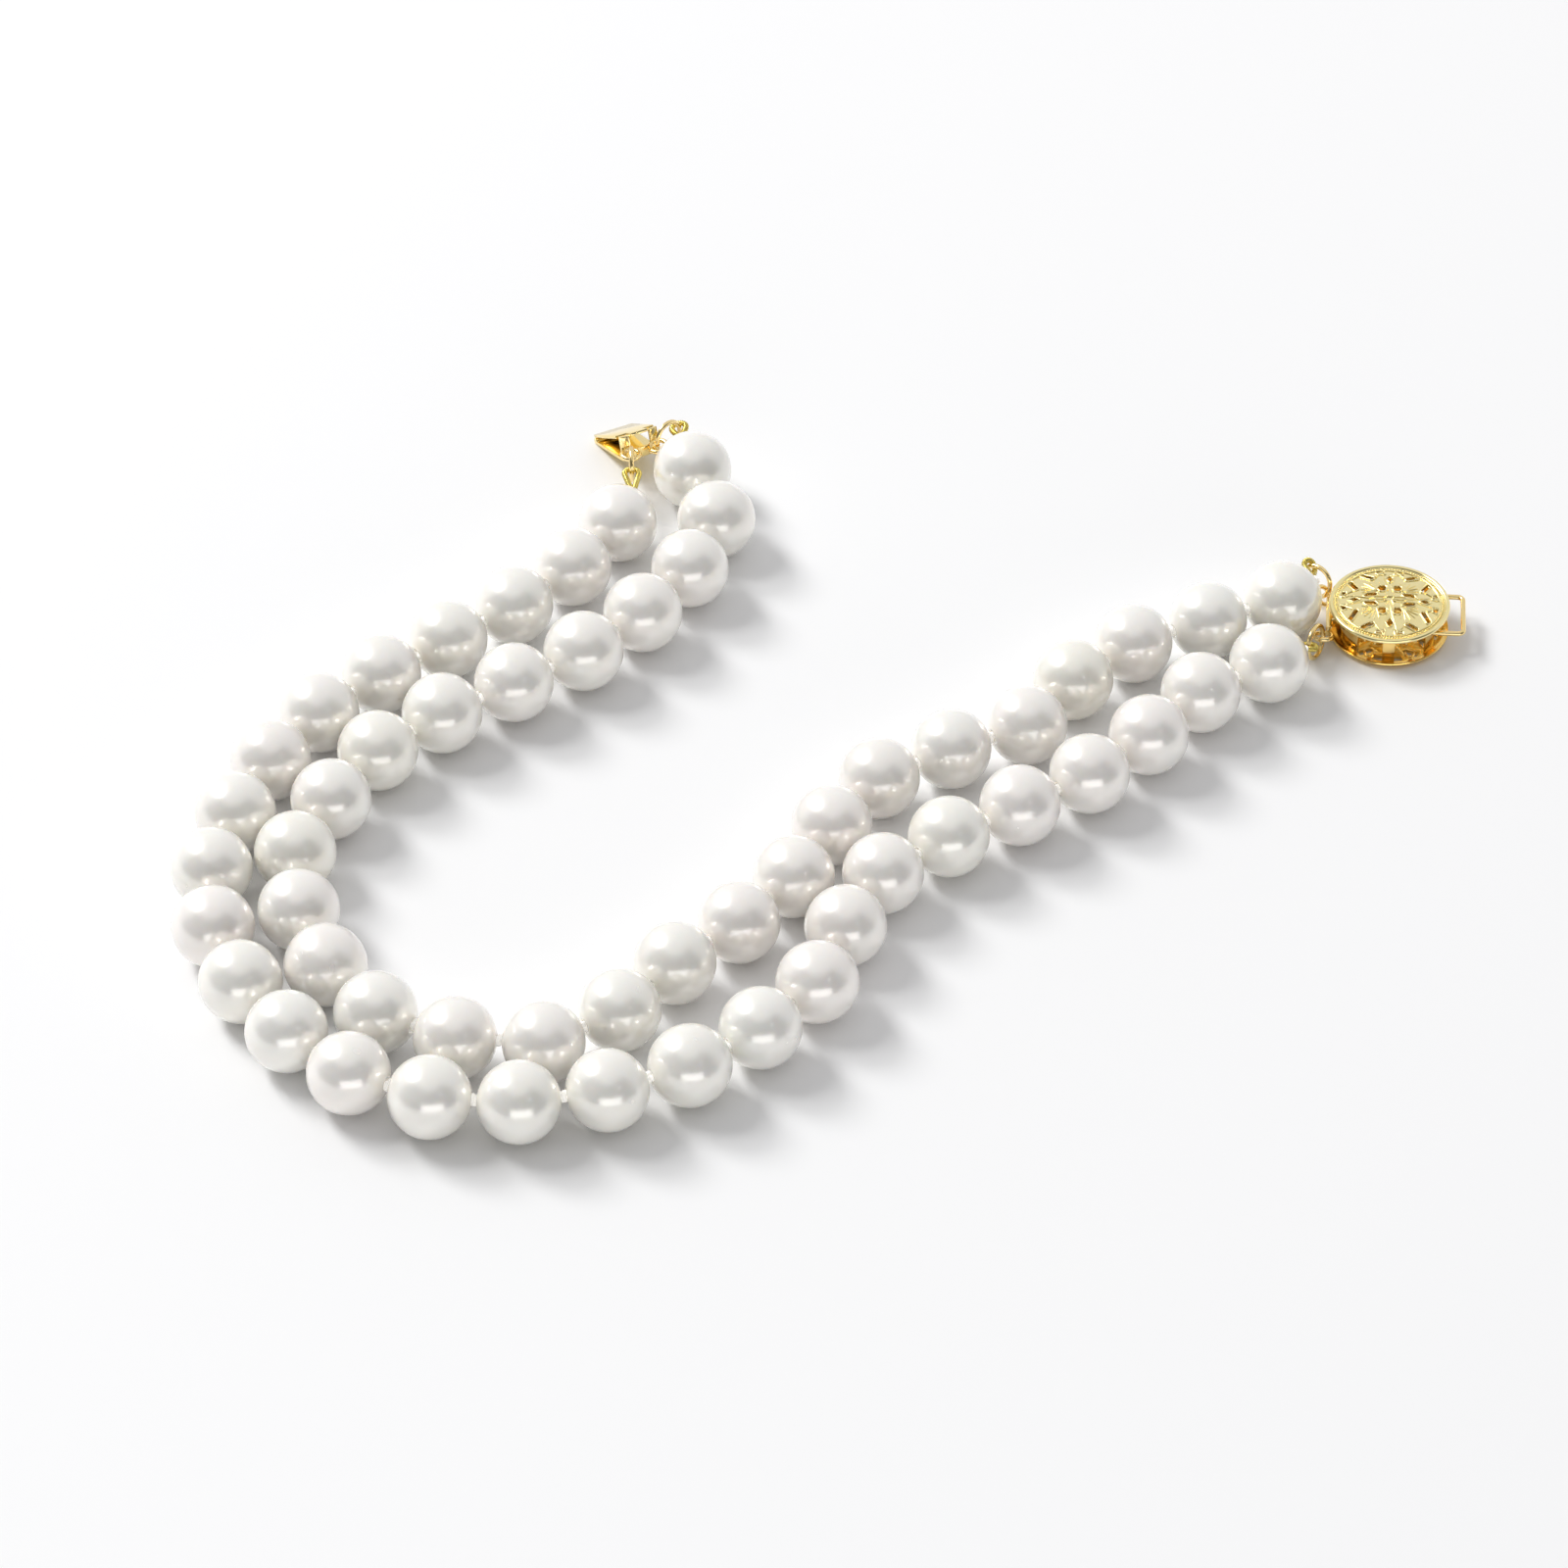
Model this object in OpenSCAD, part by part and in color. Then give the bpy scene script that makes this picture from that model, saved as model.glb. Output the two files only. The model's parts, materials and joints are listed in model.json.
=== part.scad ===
// Two-strand pearl bracelet with a round filigree box clasp.
// The origin is the middle of the clasp box's flat underside, on the table; +Z is up,
// and +X points out of the mouth of the box, away from the strands.

/* [Pearls] */
// Diameter of a pearl
pearl_d = 6.5; // [5:0.1:9]
// Gap between two pearls on a strand, filled by the knot
pearl_gap = 0.22; // [0.16:0.02:0.5]
// Diameter of the drilled hole
hole_d = 0.8; // [0.7:0.05:1]
// Pearls on each strand
pearls_per_strand = 27; // [27:1:27]

/* [Silk and gimp] */
// Diameter of the silk thread
thread_d = 0.7; // [0.4:0.05:0.9]
// Diameter of a knot
knot_d = 1.1; // [0.9:0.05:1.3]
// Diameter of the gold coil that covers the silk at the rings
gimp_d = 0.5; // [0.4:0.05:0.6]

/* [Links] */
// Diameter of the jump rings, measured to the middle of the wire
ring_d = 2.6; // [2.4:0.1:3.6]
// Wire of the jump rings and eyes
ring_wire = 0.4; // [0.3:0.02:0.5]
// Diameter of an eye, measured to the middle of its wire
eye_d = 1.5; // [1.4:0.05:1.8]

/* [Clasp box] */
// Diameter over the rims of the box
clasp_d = 9.8; // [8.5:0.1:13]
// Height from the table to the upper rim
clasp_h = 3.0; // [2.8:0.1:4]
// Rise of the domed top above its rim
dome_h = 0.55; // [0.2:0.05:0.9]
// Width of the mouth that the tongue goes into
mouth_w = 4.0; // [3.6:0.1:5]
// Wire of the bail that guards the mouth
bail_wire = 0.42; // [0.3:0.02:0.6]

/* [Tongue] */
// Length of the tongue from its end plate to its nose
tongue_l = 6.2; // [5:0.1:8]
// Angle at which the spring leaf stands open
leaf_angle = 14; // [8:1:16]
// Thickness of the gold sheet
sheet_t = 0.26; // [0.2:0.02:0.4]

/* [Hidden] */
$fn = 48;
table_z = 0;
fit = 0.03;
pearl_r = pearl_d / 2;
pitch = pearl_d + pearl_gap;
clasp_r = clasp_d / 2;
ring_r = ring_d / 2;
eye_r = eye_d / 2;
wire_r = ring_wire / 2;
gimp_r = gimp_d / 2;
knot_r = knot_d / 2;

// How the two strands lie: the route of the pearl centres, in millimetres from the
// first pearl of the inner strand, for pearls that stand laid_pitch apart.
laid_pitch = 6.72;
inner_route = [
    [0, 0], [-14.5, -8], [-19, -16], [-31.5, -24], [-38.5, -38], [-44.5, -44.5], [-54, -55.5],
    [-68.5, -53], [-76, -39.5], [-74.5, -30], [-69, -20.5], [-54, -8], [-46.5, 5.5], [-49, 14.5]
];
outer_route = [
    [-1, -8], [-6, -11.5], [-14, -21.5], [-30.5, -35], [-35, -48], [-44.5, -58], [-57.5, -62.5],
    [-69.5, -60], [-79, -50], [-82.5, -38.5], [-79.5, -25], [-74, -16], [-60, -2.5], [-55, 5.5]
];
route_steps = 10;
first_pearl_clear = 0.5;
first_pearl_y = -0.5;
route_start = [-(clasp_r + first_pearl_clear + pearl_r), first_pearl_y];

// Pearls of the inner and of the outer strand that lie before each bending knot
bends = [
    [0, 0], [2, 1], [4, 3], [6, 5], [8, 7], [10, 9], [12, 11], [14, 14],
    [16, 17], [18, 19], [20, 22], [22, 24], [24, 26], [27, 27]
];

// Box: plates, gallery and mouth
plate_t = 0.3;
floor_t = 0.26;
rim_bead_r = 0.2;
gallery_r = clasp_r - 0.7;
gallery_t = 0.25;
wall_span = 106;
post_w = 1.0;
jamb_w = 1.2;
scroll_r = 0.45;
scroll_wire_r = 0.11;
upper_z = clasp_h - rim_bead_r * 2;
gallery_h = upper_z - floor_t;

// Strand bar on the side of the box away from the mouth
eye_z = 1.3;
eye_x = -(clasp_r + 0.4);
eye_y = 2.6;
bar_t = 0.45;
bar_h = 0.9;
bar_foot_w = 1.6;
bar_half = eye_y - 0.7;

// Which way each jump ring points from its eye to the gimp
inner_ring_way = [-0.45, 0.5, 0.72];
outer_ring_way = [-0.45, -0.85, 0.28];
end_knot_out = 0.35;

// Tongue: it lies nose down on the table, propped by its rings
tongue_w = mouth_w - 0.5;
tongue_turn = 120;
tongue_pitch = 20;
tongue_reach = 2.0;
tongue_side = 145;
fold_r = 0.27;
end_plate_h = 2.1;
tab_w = 1.5;
tab_l = 1.2;
tab_notch = 1.25;
tongue_eye_y = 1.25;
tongue_eye_z = 0.7;
tongue_eye_d = 1.4;
tongue_ring_way = [0.61, 0.765, 0.19];

// ---- where everything lies ----

function unit(v) = v / norm(v);

function spline_point(a, b, c, d, t) =
    0.5 * (2 * b + (c - a) * t + (2 * a - 5 * b + 4 * c - d) * t * t
        + (3 * b - a - 3 * c + d) * t * t * t);

// A smooth path through a route, carried straight on past its last point
function smooth(route) =
    let (n = len(route),
         out_step = route[n - 1] - route[n - 2],
         p = concat([2 * route[0] - route[1]], route,
                    [route[n - 1] + out_step, route[n - 1] + 2 * out_step]))
    [for (i = [0 : n - 1], s = [0 : route_steps - 1])
        spline_point(p[i], p[i + 1], p[i + 2], p[i + 3], s / route_steps)];

// Where a path gets one pitch away from a pearl, between two of its points
function pitch_away(a, b, from) =
    let (d = b - a, f = a - from, u = d * d, v = 2 * f * d, w = f * f - pitch * pitch)
    a + d * (-v + sqrt(v * v - 4 * u * w)) / (2 * u);

function span_after(path, i, from) =
    norm(path[i + 1] - from) < pitch ? span_after(path, i + 1, from) : i;

// Pearl centres, one pitch apart along a path
function walk(path, from, i, count) =
    count == 0 ? [] :
    let (j = span_after(path, i, from), next = pitch_away(path[j], path[j + 1], from))
    concat([next], walk(path, next, j, count - 1));

function laid(route) = [for (p = route) route_start + p * pitch / laid_pitch];

function strand(route) =
    let (path = smooth(laid(route)),
         flat = concat([path[0]], walk(path, path[0], 0, pearls_per_strand - 1)))
    [for (p = flat) [p.x, p.y, table_z + pearl_r]];

inner = strand(inner_route);
outer = strand(outer_route);
last = pearls_per_strand - 1;

// Eyes of the strand bar and the gimp at the far side of each jump ring
inner_eye = [eye_x, eye_y, eye_z];
outer_eye = [eye_x, -eye_y, eye_z];
inner_gimp = inner_eye + ring_d * unit(inner_ring_way);
outer_gimp = outer_eye + ring_d * unit(outer_ring_way);

// The tongue's own frame: x from its end plate to its nose, z up through its leaves
tongue_rear_z = (tongue_l - fold_r) * sin(tongue_pitch) + fold_r * (1 - cos(tongue_pitch));
tongue_at = [
    inner[last].x + (pearl_r + tongue_reach) * cos(tongue_side),
    inner[last].y + (pearl_r + tongue_reach) * sin(tongue_side),
    table_z + tongue_rear_z
];
function on_tongue(p) =
    let (x = p.x * cos(tongue_pitch) + p.z * sin(tongue_pitch),
         z = -p.x * sin(tongue_pitch) + p.z * cos(tongue_pitch))
    tongue_at + [x * cos(tongue_turn) - p.y * sin(tongue_turn),
                 x * sin(tongue_turn) + p.y * cos(tongue_turn), z];

plate_sag = gallery_r - sqrt(gallery_r * gallery_r - tongue_eye_y * tongue_eye_y);
tongue_eye_x = plate_sag - tongue_eye_d / 2;
inner_far_eye = on_tongue([tongue_eye_x, -tongue_eye_y, tongue_eye_z]);
outer_far_eye = on_tongue([tongue_eye_x, tongue_eye_y, tongue_eye_z]);
inner_far_gimp = inner_far_eye + ring_d * unit(tongue_ring_way);

// The knot that ends a strand sits on the pearl, halfway between straight on and its gimp
function end_knot(before, pearl, towards) =
    pearl + (pearl_r + end_knot_out) * unit(unit(pearl - before) + unit(towards - pearl));

inner_first_knot = end_knot(inner[1], inner[0], inner_gimp);
outer_first_knot = end_knot(outer[1], outer[0], outer_gimp);
inner_last_knot = end_knot(inner[last - 1], inner[last], inner_far_gimp);
outer_last_knot = end_knot(outer[last - 1], outer[last], outer_far_eye);
outer_far_gimp = outer_far_eye + ring_d * unit(outer_last_knot - outer_far_eye);

function knots(pearls, first, final) =
    concat([first], [for (i = [0 : last - 1]) (pearls[i] + pearls[i + 1]) / 2], [final]);

inner_knots = knots(inner, inner_first_knot, inner_last_knot);
outer_knots = knots(outer, outer_first_knot, outer_last_knot);

// Each jump ring stands flat to its pearl, so its wire crosses eye and gimp this way
function across(eye, gimp, pearl) = unit(cross(gimp - eye, (gimp + eye) / 2 - pearl));

inner_across = across(inner_eye, inner_gimp, inner[0]);
outer_across = across(outer_eye, outer_gimp, outer[0]);
inner_far_across = across(inner_far_eye, inner_far_gimp, inner[last]);
outer_far_across = unit(cross(outer_far_gimp - outer_far_eye, [1, 0, 0]));

// ---- shapes that repeat ----

// Puts a shape's own x and z axes along two directions
module set_at(point, x_way, z_way) {
    z = unit(z_way);
    x = unit(x_way - (x_way * z) * z);
    y = cross(z, x);
    multmatrix([[x.x, y.x, z.x, point.x], [x.y, y.y, z.y, point.y], [x.z, y.z, z.z, point.z],
                [0, 0, 0, 1]])
        children();
}

module rod(from, to, r) {
    way = to - from;
    tilt = acos(way.z / norm(way));
    turn = atan2(way.y, way.x);
    translate(from)
        rotate([0, tilt, turn])
            cylinder(h = norm(way), r = r);
}

module hoop(centre, axis, r, tube_r) {
    tilt = acos(axis.z / norm(axis));
    turn = atan2(axis.y, axis.x);
    translate(centre)
        rotate([0, tilt, turn])
            rotate_extrude()
                translate([r, 0])
                    circle(r = tube_r);
}

module jump_ring(eye, gimp, wire_way) {
    hoop((eye + gimp) / 2, cross(gimp - eye, wire_way), ring_r, wire_r);
}

// A sphere turned so that its seam lies a quarter turn away from the thread
module ball(centre, r, thread_way) {
    translate(centre)
        rotate([0, 0, atan2(thread_way.y, thread_way.x) + 90])
            sphere(r = r);
}

// One pearl, drilled from knot to knot, with a hollow at each mouth that seats the knot
module pearl(centre, knot_a, knot_b) {
    way = knot_b - knot_a;
    difference() {
        ball(centre, pearl_r, way);
        rod(knot_a, knot_b, hole_d / 2);
        ball(knot_a, knot_r + fit, way);
        ball(knot_b, knot_r + fit, way);
    }
}

module pearls_of(pearls, knots, from, to) {
    for (i = [from : to])
        pearl(pearls[i], knots[i], knots[i + 1]);
}

module pearl_group(k) {
    color("ivory") {
        pearls_of(inner, inner_knots, bends[k - 1][0], bends[k][0] - 1);
        pearls_of(outer, outer_knots, bends[k - 1][1], bends[k][1] - 1);
    }
}

// The silk of one strand inside one group: it stops short of the knot that it bends at,
// which belongs to the group before
module silk_of(knots, from, to) {
    for (i = [from : to]) {
        way = unit(knots[i + 1] - knots[i]);
        own_knot = i > from || from == 0;
        rod(knots[i] + (own_knot ? knot_r / 2 : knot_r + fit) * way, knots[i + 1] - knot_r / 2 * way,
            thread_d / 2);
        ball(knots[i + 1], knot_r, way);
    }
    if (from == 0)
        ball(knots[0], knot_r, knots[1] - knots[0]);
}

module silk_group(k) {
    color("white") {
        silk_of(inner_knots, bends[k - 1][0], bends[k][0] - 1);
        silk_of(outer_knots, bends[k - 1][1], bends[k][1] - 1);
    }
}

// A loop of gold coil round a jump ring's wire, its two legs drawn together at the knot
module gimp(ring_point, wire_way, knot) {
    reach = norm(knot - ring_point);
    loop_r = gimp_r + wire_r + 0.15;
    leg_r = gimp_r * 0.85;
    leg_lap = 0.05;
    opening = acos(loop_r / reach);
    color("gold")
        difference() {
            set_at(ring_point, knot - ring_point, wire_way) {
                rotate([0, 0, opening])
                    rotate_extrude(angle = 360 - 2 * opening)
                        translate([loop_r, 0])
                            circle(r = gimp_r);
                for (side = [-1, 1]) {
                    start = [loop_r * cos(opening), side * loop_r * sin(opening), 0];
                    tip = [reach, 0, 0];
                    rod(start - leg_lap * unit(tip - start), tip, leg_r);
                }
            }
            translate(knot)
                sphere(r = knot_r + fit / 2);
        }
}

// ---- clasp box ----

module almond(length, width) {
    r = (length * length / 4 + width * width / 4) / width;
    intersection() {
        translate([0, r - width / 2])
            circle(r = r);
        translate([0, width / 2 - r])
            circle(r = r);
    }
}

module diamond(length, width) {
    polygon([[-length / 2, 0], [0, -width / 2], [length / 2, 0], [0, width / 2]]);
}

module slot(length, width) {
    square([length - width, width], center = true);
    for (side = [-1, 1])
        translate([side * (length - width) / 2, 0])
            circle(d = width);
}

// The open pattern of both plates: one quarter, mirrored to all four
module filigree() {
    s = clasp_d / 9.8;
    for (mx = [0, 1], my = [0, 1])
        mirror([mx, 0])
            mirror([0, my])
                scale(s) {
                    translate([0.6, 1.4])
                        circle(d = 0.85);
                    translate([1.55, 0.52])
                        rotate(-12)
                            almond(1.25, 0.68);
                    translate([2.95, 1.85])
                        rotate(62)
                            slot(1.45, 0.5);
                    translate([1.8, 3.05])
                        rotate(28)
                            slot(1.25, 0.5);
                    translate([0.75, 3.78])
                        polygon([[-0.42, -0.3], [0.36, -0.26], [0.4, 0.16], [-0.3, 0.32]]);
                    translate([3.72, 0.8])
                        polygon([[-0.3, -0.36], [0.3, -0.3], [0.16, 0.4], [-0.26, 0.28]]);
                }
    scale(s)
        for (a = [0, 180]) {
            rotate(a)
                translate([2.85, 0])
                    diamond(1.0, 0.62);
            rotate(a + 90)
                translate([2.75, 0])
                    diamond(1.2, 0.72);
        }
}

module clasp_top_plate() {
    inner_r = clasp_r - 2 * rim_bead_r;
    dome_r = (inner_r * inner_r + dome_h * dome_h) / (2 * dome_h);
    dome_z = clasp_h - rim_bead_r + dome_h - dome_r;
    color("gold") {
        difference() {
            intersection() {
                translate([0, 0, dome_z])
                    difference() {
                        sphere(r = dome_r);
                        sphere(r = dome_r - plate_t);
                    }
                translate([0, 0, upper_z])
                    cylinder(h = clasp_h + dome_h, r = inner_r + rim_bead_r / 2);
            }
            linear_extrude(height = clasp_h + dome_h + 1)
                filigree();
        }
        rotate_extrude() {
            translate([clasp_r - rim_bead_r, clasp_h - rim_bead_r])
                circle(r = rim_bead_r);
            translate([gallery_r - gallery_t, upper_z])
                square([clasp_r - rim_bead_r - gallery_r + gallery_t, rim_bead_r]);
        }
    }
}

module clasp_base_plate() {
    lip_z = 0.58;
    color("gold")
        difference() {
            rotate_extrude()
                polygon([
                    [0, 0], [gallery_r, 0], [clasp_r - 0.18, 0.24], [clasp_r, lip_z - 0.12],
                    [clasp_r - 0.06, lip_z], [clasp_r - 0.24, lip_z - 0.14], [gallery_r + 0.12, floor_t],
                    [0, floor_t]
                ]);
            translate([0, 0, -1])
                linear_extrude(height = 2)
                    filigree();
        }
}

// An upright strip of the gallery, from one bearing to another round the box
module gallery_strip(middle, span) {
    rotate([0, 0, middle - span / 2])
        translate([0, 0, floor_t])
            rotate_extrude(angle = span)
                translate([gallery_r - gallery_t, 0])
                    square([gallery_t, gallery_h]);
}

module gallery_wall() {
    color("goldenrod")
        gallery_strip(180, wall_span);
}

function span_of(width) = 2 * asin(width / 2 / gallery_r);
jamb_at = asin(mouth_w / 2 / gallery_r) + span_of(jamb_w) / 2;

module gallery_posts() {
    color("goldenrod")
        for (side = [-1, 1]) {
            gallery_strip(90 * side, span_of(post_w));
            gallery_strip(jamb_at * side, span_of(jamb_w));
        }
}

// Paired wire scrolls that fill the gallery between its posts
module gallery_scrolls() {
    behind = (180 - wall_span / 2 + 90 + span_of(post_w) / 2) / 2;
    ahead = (90 - span_of(post_w) / 2 + jamb_at + span_of(jamb_w) / 2) / 2;
    half_h = gallery_h / 4;
    color("gold")
        for (side = [-1, 1], at = [behind, ahead], up = [0, 1])
            rotate([0, 0, side * at])
                translate([gallery_r - gallery_t / 2, 0, floor_t + half_h * (1 + 2 * up)])
                    rotate([0, 90, 0])
                        rotate([0, 0, up ? 180 : 0])
                            rotate([0, 0, -110])
                                rotate_extrude(angle = 220)
                                    translate([scroll_r, 0])
                                        circle(r = scroll_wire_r);
}

// A strip behind the top of the mouth: the tongue's spring leaf snaps in under it
module catch_strip() {
    color("goldenrod")
        translate([gallery_r - 3 * gallery_t, -mouth_w / 2, upper_z - 0.6])
            cube([gallery_t, mouth_w, 0.6 - fit / 3]);
}

module safety_bail() {
    r = bail_wire / 2;
    bend = 0.45;
    half = mouth_w / 2 + r + 0.1;
    reach = clasp_r + 1.1;
    z = floor_t + gallery_h * 0.7;
    color("gold")
        difference() {
            union() {
                for (side = [-1, 1]) {
                    rod([0, side * half, z], [reach - bend, side * half, z], r);
                    translate([reach - bend, side * (half - bend), z])
                        rotate([0, 0, side > 0 ? 0 : -90])
                            rotate_extrude(angle = 90)
                                translate([bend, 0])
                                    circle(r = r);
                }
                rod([reach, bend - half, z], [reach, half - bend, z], r);
            }
            cylinder(h = clasp_h, r = gallery_r);
        }
}

module strand_bar() {
    bar_x = eye_x + 0.25;
    color("gold")
        difference() {
            union() {
                translate([bar_x, -bar_half, eye_z - bar_h / 2])
                    cube([bar_t, 2 * bar_half, bar_h]);
                translate([bar_x, -bar_foot_w / 2, eye_z - bar_h / 2])
                    cube([-bar_x - gallery_r + gallery_t, bar_foot_w, bar_h]);
                hoop(inner_eye, inner_across, eye_r, wire_r);
                hoop(outer_eye, outer_across, eye_r, wire_r);
            }
            cylinder(h = clasp_h, r = gallery_r);
        }
}

module ring_inner_box() {
    color("gold")
        jump_ring(inner_eye, inner_gimp, inner_across);
}

module ring_outer_box() {
    color("gold")
        jump_ring(outer_eye, outer_gimp, outer_across);
}

module ring_inner_tongue() {
    color("gold")
        jump_ring(inner_far_eye, inner_far_gimp, inner_far_across);
}

module ring_outer_tongue() {
    color("gold")
        jump_ring(outer_far_eye, outer_far_gimp, outer_far_across);
}

// ---- tongue ----

module on_tongue_frame() {
    translate(tongue_at)
        rotate([0, tongue_pitch, tongue_turn])
            children();
}

// The lower leaf runs forward into the rounded fold at the nose
module tongue_lower_leaf() {
    color("gold")
        on_tongue_frame() {
            intersection() {
                translate([0, -tongue_w / 2, 0])
                    cube([tongue_l - fold_r, tongue_w, sheet_t]);
                translate([gallery_r, 0, -sheet_t])
                    cylinder(h = 3 * sheet_t, r = gallery_r - sheet_t);
            }
            translate([tongue_l - fold_r, tongue_w / 2, fold_r])
                rotate([90, 0, 0])
                    cylinder(h = tongue_w, r = fold_r);
        }
}

// A curved plate that closes the mouth, notched for the thumb tab
module tongue_end_plate() {
    span = 2 * asin(tongue_w / 2 / gallery_r);
    color("gold")
        on_tongue_frame()
            difference() {
                translate([gallery_r, 0, 0])
                    rotate([0, 0, 180 - span / 2])
                        rotate_extrude(angle = span)
                            translate([gallery_r - sheet_t, 0])
                                square([sheet_t, end_plate_h]);
                translate([-1, -tab_w / 2 - 0.15, end_plate_h - tab_notch])
                    cube([3, tab_w + 0.3, tab_notch + 1]);
            }
}

module tongue_eyes() {
    color("gold")
        difference() {
            union() {
                hoop(inner_far_eye, inner_far_across, tongue_eye_d / 2, wire_r);
                hoop(outer_far_eye, outer_far_across, tongue_eye_d / 2, wire_r);
            }
            on_tongue_frame()
                translate([gallery_r, 0, -2])
                    cylinder(h = end_plate_h + 4, r = gallery_r);
        }
}

// The sprung upper leaf and its thumb tab, one strip that swings about the fold
module tongue_spring_leaf() {
    under = fold_r + fit;
    leaf_l = tongue_l - fold_r - plate_sag - sheet_t - 0.35;
    color("gold")
        on_tongue_frame()
            translate([tongue_l - fold_r, 0, fold_r])
                rotate([0, leaf_angle, 0]) {
                    translate([-leaf_l, -tongue_w / 2, under])
                        cube([leaf_l, tongue_w, sheet_t]);
                    translate([-leaf_l - tab_l, -tab_w / 2, under])
                        cube([tab_l + 0.5, tab_w, sheet_t]);
                }
}

clasp_top_plate();
clasp_base_plate();
gallery_wall();
gallery_posts();
gallery_scrolls();
catch_strip();
safety_bail();
strand_bar();
ring_inner_box();
ring_outer_box();
gimp(inner_gimp, inner_across, inner_first_knot);  // gimp_inner_box
gimp(outer_gimp, outer_across, outer_first_knot);  // gimp_outer_box
pearl_group(1);  // pearls_01
pearl_group(2);  // pearls_02
pearl_group(3);  // pearls_03
pearl_group(4);  // pearls_04
pearl_group(5);  // pearls_05
pearl_group(6);  // pearls_06
pearl_group(7);  // pearls_07
pearl_group(8);  // pearls_08
pearl_group(9);  // pearls_09
pearl_group(10);  // pearls_10
pearl_group(11);  // pearls_11
pearl_group(12);  // pearls_12
pearl_group(13);  // pearls_13
silk_group(1);  // silk_01
silk_group(2);  // silk_02
silk_group(3);  // silk_03
silk_group(4);  // silk_04
silk_group(5);  // silk_05
silk_group(6);  // silk_06
silk_group(7);  // silk_07
silk_group(8);  // silk_08
silk_group(9);  // silk_09
silk_group(10);  // silk_10
silk_group(11);  // silk_11
silk_group(12);  // silk_12
silk_group(13);  // silk_13
gimp(inner_far_gimp, inner_far_across, inner_last_knot);  // gimp_inner_tongue
gimp(outer_far_gimp, outer_far_across, outer_last_knot);  // gimp_outer_tongue
ring_inner_tongue();
ring_outer_tongue();
tongue_lower_leaf();
tongue_end_plate();
tongue_eyes();
tongue_spring_leaf();
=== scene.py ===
# A two-strand pearl bracelet with a round gold filigree box clasp, lying open on a pale floor.
import json
import math
import bmesh
import bpy
from mathutils import Matrix, Vector


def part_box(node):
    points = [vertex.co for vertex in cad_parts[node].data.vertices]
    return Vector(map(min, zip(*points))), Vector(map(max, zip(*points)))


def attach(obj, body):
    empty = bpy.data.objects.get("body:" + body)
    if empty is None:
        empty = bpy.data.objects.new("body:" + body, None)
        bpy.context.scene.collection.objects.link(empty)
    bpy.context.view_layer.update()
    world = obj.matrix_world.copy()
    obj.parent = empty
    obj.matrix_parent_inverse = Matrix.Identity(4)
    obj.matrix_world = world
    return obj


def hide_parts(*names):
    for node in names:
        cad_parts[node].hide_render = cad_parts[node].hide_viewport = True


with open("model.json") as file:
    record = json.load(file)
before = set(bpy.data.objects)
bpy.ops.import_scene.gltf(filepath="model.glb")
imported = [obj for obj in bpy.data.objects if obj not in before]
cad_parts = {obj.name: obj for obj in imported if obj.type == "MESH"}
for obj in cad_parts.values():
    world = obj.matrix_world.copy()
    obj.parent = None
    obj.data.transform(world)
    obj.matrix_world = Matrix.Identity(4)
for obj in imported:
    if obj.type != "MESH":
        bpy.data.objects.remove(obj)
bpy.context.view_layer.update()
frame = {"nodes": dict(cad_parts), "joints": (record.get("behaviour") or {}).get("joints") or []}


# ---- The studio ----
# A long lens looks down at the open bracelet on a pale table. The key light stands low at the
# back left, a round softbox hangs over the left, and a white card fills in from the front.

MM = 0.001
scene = bpy.context.scene
scene.view_settings.view_transform = "Standard"
looked_at = Vector((-47.70, -21.85, 0)) * MM

camera = bpy.data.objects.new("camera", bpy.data.cameras.new("camera"))
camera.data.lens = 169
camera.data.sensor_width = 36
camera.data.clip_start = 0.01
camera.location = Vector((-20.91, -459.97, 383.10)) * MM
camera.rotation_euler = (looked_at - camera.location).to_track_quat("-Z", "Y").to_euler()
scene.collection.objects.link(camera)
scene.camera = camera


def area_light(name, towards, distance, size, power, shape="DISK"):
    light = bpy.data.lights.new(name, "AREA")
    light.shape = shape
    light.size = size[0]
    light.size_y = size[1]
    light.energy = power
    lamp = bpy.data.objects.new(name, light)
    lamp.location = looked_at + distance * Vector(towards).normalized()
    lamp.rotation_euler = (looked_at - lamp.location).to_track_quat("-Z", "Y").to_euler()
    scene.collection.objects.link(lamp)


area_light("key", (-0.62, 0.46, 0.63), 2.0, (0.60, 0.60), 17.5)
area_light("softbox", (-0.57, 0.20, 0.79), 1.2, (0.38, 0.38), 4.2)
area_light("front_card", (0.20, -0.96, 0.10), 1.2, (1.3, 0.60), 5.0, shape="RECTANGLE")
area_light("pin", (0.54, -0.53, 0.66), 1.2, (0.03, 0.03), 0.05)

# The room is bright above and behind, and dim on the side that the camera stands on
world = bpy.data.worlds.new("room")
world.use_nodes = True
scene.world = world
room = world.node_tree
background = room.nodes["Background"]
way = room.nodes.new("ShaderNodeTexCoord")
split = room.nodes.new("ShaderNodeSeparateXYZ")
room.links.new(way.outputs["Generated"], split.inputs[0])
dim_side = room.nodes.new("ShaderNodeMath")
dim_side.operation = "MULTIPLY"
for place, (along, bright_at, dim_at) in enumerate((("Y", 0.25, -0.25), ("Z", 0.97, 0.75))):
    fading = room.nodes.new("ShaderNodeMapRange")
    fading.interpolation_type = "SMOOTHSTEP"
    fading.inputs["From Min"].default_value = bright_at
    fading.inputs["From Max"].default_value = dim_at
    room.links.new(split.outputs[along], fading.inputs["Value"])
    room.links.new(fading.outputs["Result"], dim_side.inputs[place])
room_tone = room.nodes.new("ShaderNodeMix")
room_tone.data_type = "RGBA"
room.links.new(dim_side.outputs[0], room_tone.inputs["Factor"])


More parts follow.
